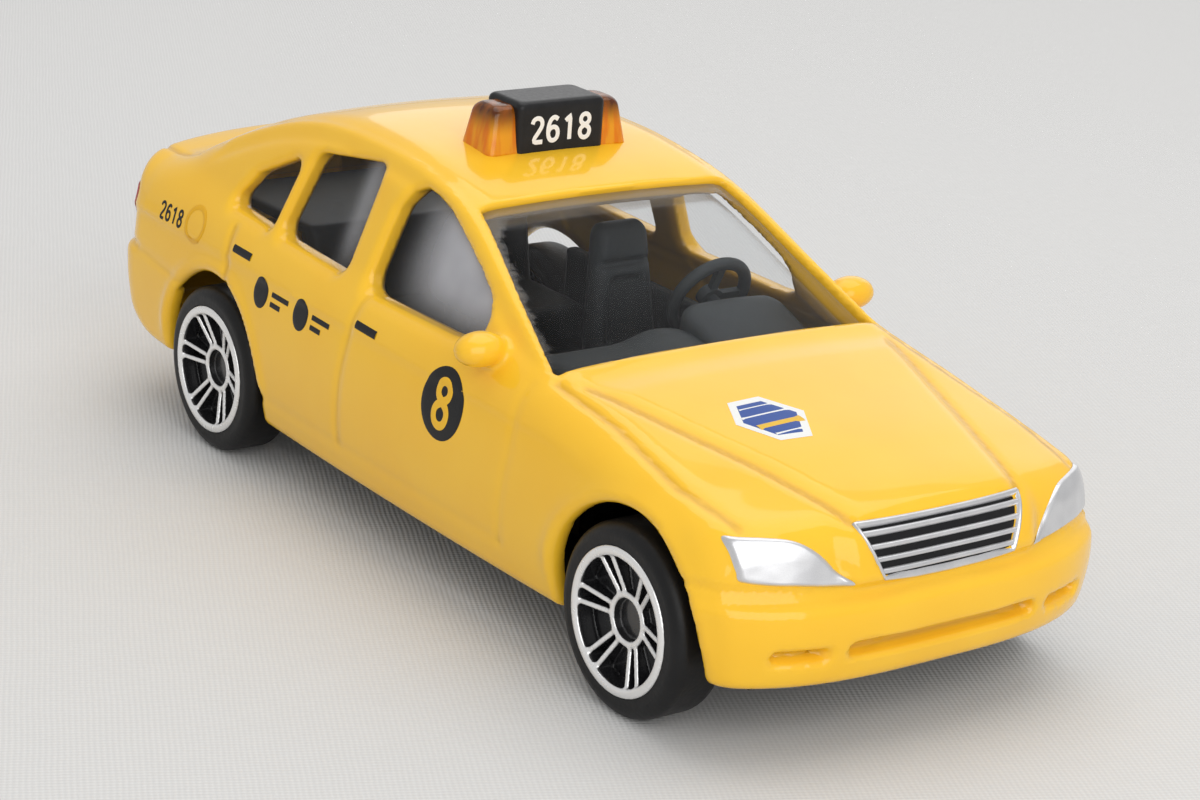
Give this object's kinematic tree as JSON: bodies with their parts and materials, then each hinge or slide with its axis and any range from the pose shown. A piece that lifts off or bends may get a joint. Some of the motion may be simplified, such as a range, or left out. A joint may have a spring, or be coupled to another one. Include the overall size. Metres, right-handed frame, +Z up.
{
  "type": "toy taxi",
  "caption": "Die-cast toy saloon car in taxi yellow with a lit-style roof sign, clear windows, a moulded interior and free-rolling axles.",
  "frame": {"origin": "on the ground under the middle of the bounding box", "axes": "+X to the front of the car, along its length; +Y to the car's left; +Z up"},
  "size_m": [0.076, 0.0322, 0.0279],
  "materials": {
    "yellow_enamel": "thick gloss enamel on cast zinc",
    "clear_glazing": "clear moulded styrene",
    "interior_plastic": "dark grey moulded plastic",
    "base_plastic": "black moulded plastic, fine texture",
    "axle_steel": "drawn steel wire",
    "rim_plastic": "gloss black plastic with silver hot foil on ring and spokes",
    "tyre_plastic": "satin black",
    "amber_lens": "clear amber moulding",
    "sign_plastic": "satin black with white printed figures"
  },
  "bodies": {
    "car": {"body_shell": "yellow_enamel", "window_glazing": "clear_glazing", "interior_tub": "interior_plastic", "steering_wheel": "interior_plastic", "base_plate": "base_plastic", "roof_sign_lens": "amber_lens", "roof_sign_cover": "sign_plastic", "front_base_screw": "axle_steel", "rear_base_screw": "axle_steel"},
    "front_wheels": {"front_axle": "axle_steel", "front_left_rim": "rim_plastic", "front_right_rim": "rim_plastic", "front_left_tyre": "tyre_plastic", "front_right_tyre": "tyre_plastic"},
    "rear_wheels": {"rear_axle": "axle_steel", "rear_left_rim": "rim_plastic", "rear_right_rim": "rim_plastic", "rear_left_tyre": "tyre_plastic", "rear_right_tyre": "tyre_plastic"}
  },
  "joints": [
    {"name": "front_axle_spin", "type": "hinge", "parent": "car", "child": "front_wheels", "pos_m": [0.0268, 0, 0.00575], "axis": [0, 1, 0], "continuous": true},
    {"name": "rear_axle_spin", "type": "hinge", "parent": "car", "child": "rear_wheels", "pos_m": [-0.0212, 0, 0.00575], "axis": [0, 1, 0], "continuous": true}
  ]
}
